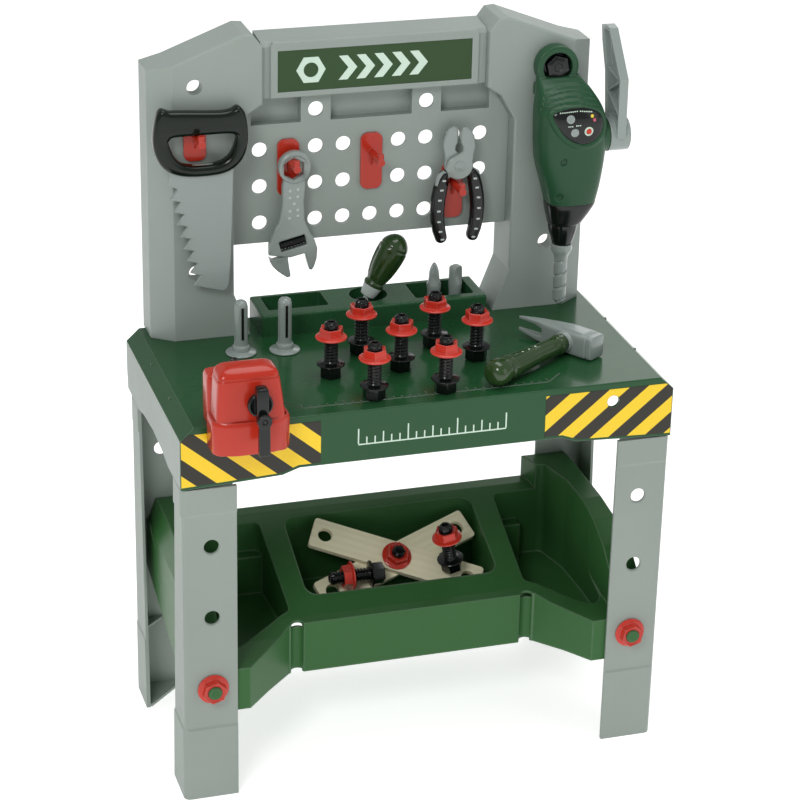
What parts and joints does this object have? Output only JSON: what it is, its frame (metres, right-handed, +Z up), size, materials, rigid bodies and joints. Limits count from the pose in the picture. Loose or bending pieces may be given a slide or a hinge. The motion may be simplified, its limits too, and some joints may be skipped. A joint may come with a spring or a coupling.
{
  "type": "toy tool bench",
  "caption": "Free-standing toy tool bench with a hanging tray, tool rack, pegboard with hooks, side vice, and a full set of toy hand tools and fasteners.",
  "frame": {"origin": "on the floor, under the middle of the whole object's outline", "axes": "+X to the right seen from the front, +Y to the back, +Z up"},
  "size_m": [0.61, 0.38, 0.871],
  "materials": {
    "grey_plastic": "satin",
    "worktop_green": "gloss",
    "tray_green": "satin",
    "red_gloss": "gloss",
    "black_plastic": "satin",
    "saw_dark": "gloss",
    "silver_plastic": "satin",
    "drill_green": "satin",
    "olive_gloss": "gloss",
    "pale_wood": "matte",
    "sign_green": "matte",
    "mint_print": "matte",
    "hazard_print": "satin",
    "screw_steel": "satin"
  },
  "bodies": {
    "bench": {"worktop": "worktop_green", "side_rail_left": "grey_plastic", "side_rail_right": "grey_plastic", "leg_front_left": "grey_plastic", "leg_front_right": "grey_plastic", "leg_rear_left": "grey_plastic", "leg_rear_right": "grey_plastic", "tray": "tray_green", "tray_studs": "tray_green", "tray_nuts": "red_gloss", "hazard_label_right": "hazard_print", "hazard_label_left": "hazard_print", "ruler_scale": "mint_print", "tool_rack": "worktop_green", "upright_right": "grey_plastic", "upright_left": "grey_plastic", "pegboard": "grey_plastic", "header": "grey_plastic", "sign_plate": "sign_green", "sign_chevrons": "mint_print", "sign_nut_mark": "mint_print", "tool_hooks": "red_gloss", "drill_hanger_bolt": "black_plastic", "vice_base": "red_gloss"},
    "vice_screw": {"vice_screw": "black_plastic"},
    "vice_bar": {"vice_bar": "black_plastic"},
    "vice_jaw": {"vice_jaw": "red_gloss"},
    "saw": {"saw_blade": "silver_plastic", "saw_handle": "saw_dark"},
    "wrench": {"wrench_body": "silver_plastic"},
    "wrench_worm": {"wrench_worm": "silver_plastic"},
    "wrench_jaw": {"wrench_jaw": "silver_plastic"},
    "pliers_left": {"pliers_half_left": "silver_plastic", "pliers_grip_left": "black_plastic", "pliers_pivot": "black_plastic"},
    "pliers_right": {"pliers_half_right": "silver_plastic", "pliers_grip_right": "black_plastic"},
    "drill": {"drill_shell_front": "drill_green", "drill_shell_back": "drill_green", "drill_screws": "screw_steel", "drill_nose": "black_plastic", "drill_collar": "drill_green", "drill_panel": "black_plastic", "drill_dials": "silver_plastic"},
    "drill_crank": {"drill_crank": "silver_plastic"},
    "drill_bit": {"drill_bit": "silver_plastic"},
    "hammer": {"hammer_head": "silver_plastic", "hammer_handle": "olive_gloss"},
    "screwdriver": {"screwdriver_shaft": "silver_plastic", "screwdriver_handle": "olive_gloss"},
    "bits": {"screwdriver_bits": "silver_plastic"},
    "nails": {"nails": "silver_plastic"},
    "bench_bolts": {"bench_bolts": "black_plastic"},
    "bench_nuts": {"bench_nuts": "red_gloss"},
    "planks": {"plank_upper": "pale_wood", "plank_bolt": "black_plastic", "plank_nut": "red_gloss"},
    "plank_lower": {"plank_lower": "pale_wood"},
    "loose_fasteners": {"loose_bolts": "black_plastic", "loose_nuts": "red_gloss"}
  },
  "joints": [
    {"name": "vice_screw_turn", "type": "hinge", "parent": "bench", "child": "vice_screw", "pos_m": [-0.224, -0.118, 0.536], "axis": [0, 1, 0], "range_deg": [0, 2700]},
    {"name": "vice_jaw_slide", "type": "slide", "parent": "bench", "child": "vice_jaw", "axis": [0, 1, 0], "range_m": [0, 0.03]},
    {"name": "vice_bar_swing", "type": "hinge", "parent": "vice_screw", "child": "vice_bar", "pos_m": [-0.224, -0.186, 0.524], "axis": [0, 1, 0], "range_deg": [-90, 90]},
    {"name": "saw_lift_off", "type": "slide", "parent": "bench", "child": "saw", "axis": [0, -0.9121, 0.41], "range_m": [0, 0.08]},
    {"name": "wrench_lift_off", "type": "slide", "parent": "bench", "child": "wrench", "axis": [0, -0.9121, 0.41], "range_m": [0, 0.08]},
    {"name": "wrench_worm_turn", "type": "hinge", "parent": "wrench", "child": "wrench_worm", "pos_m": [-0.1074, 0.136, 0.605], "axis": [0.9744, 0, 0.225], "range_deg": [0, 900]},
    {"name": "wrench_jaw_slide", "type": "slide", "parent": "wrench", "child": "wrench_jaw", "axis": [-0.9744, 0, -0.225], "range_m": [0, 0.01]},
    {"name": "pliers_lift_off", "type": "slide", "parent": "bench", "child": "pliers_left", "axis": [0, -0.9121, 0.41], "range_m": [0, 0.08]},
    {"name": "pliers_open", "type": "hinge", "parent": "pliers_left", "child": "pliers_right", "pos_m": [0.1025, 0.136, 0.687], "axis": [0, -1, 0], "range_deg": [0, 20]},
    {"name": "drill_pull_off", "type": "slide", "parent": "bench", "child": "drill", "axis": [0, -1, 0], "range_m": [0, 0.06]},
    {"name": "drill_crank_turn", "type": "hinge", "parent": "drill", "child": "drill_crank", "pos_m": [0.229, 0.102, 0.724], "axis": [1, 0, 0], "continuous": true},
    {"name": "drill_bit_spin", "type": "hinge", "parent": "drill", "child": "drill_bit", "pos_m": [0.229, 0.102, 0.724], "axis": [0, 0, 1], "continuous": true},
    {"name": "hammer_pick_up", "type": "slide", "parent": "bench", "child": "hammer", "axis": [0, 0, 1], "range_m": [0, 0.08]},
    {"name": "screwdriver_tip_forward", "type": "hinge", "parent": "bench", "child": "screwdriver", "pos_m": [-0.0155, 0.157, 0.498], "axis": [1, 0, 0], "range_deg": [0, 25]},
    {"name": "bits_pick_up", "type": "slide", "parent": "bench", "child": "bits", "axis": [0, 0, 1], "range_m": [0, 0.045]},
    {"name": "nails_pick_up", "type": "slide", "parent": "bench", "child": "nails", "axis": [0, 0, 1], "range_m": [0, 0.03]},
    {"name": "bolts_pick_up", "type": "slide", "parent": "bench", "child": "bench_bolts", "axis": [0, 0, 1], "range_m": [0, 0.08]},
    {"name": "nuts_run_on_bolts", "type": "slide", "parent": "bench_bolts", "child": "bench_nuts", "axis": [0, 0, 1], "range_m": [-0.03, 0.05]},
    {"name": "planks_pick_up", "type": "slide", "parent": "bench", "child": "planks", "axis": [0, 0, 1], "range_m": [0, 0.1]},
    {"name": "plank_swivel", "type": "hinge", "parent": "planks", "child": "plank_lower", "pos_m": [0.012, 0.065, 0.1955], "axis": [0, -0.6247, 0.7809], "range_deg": [-4, 4]},
    {"name": "loose_fasteners_pick_up", "type": "slide", "parent": "planks", "child": "loose_fasteners", "axis": [0, 0, 1], "range_m": [0, 0.1]}
  ],
  "couplings": [
    {"joint": "vice_screw_turn", "follows": "vice_jaw_slide", "rad_per_m": 1570.8},
    {"joint": "wrench_worm_turn", "follows": "wrench_jaw_slide", "rad_per_m": 1570.8},
    {"joint": "drill_bit_spin", "follows": "drill_crank_turn", "ratio": 1}
  ]
}
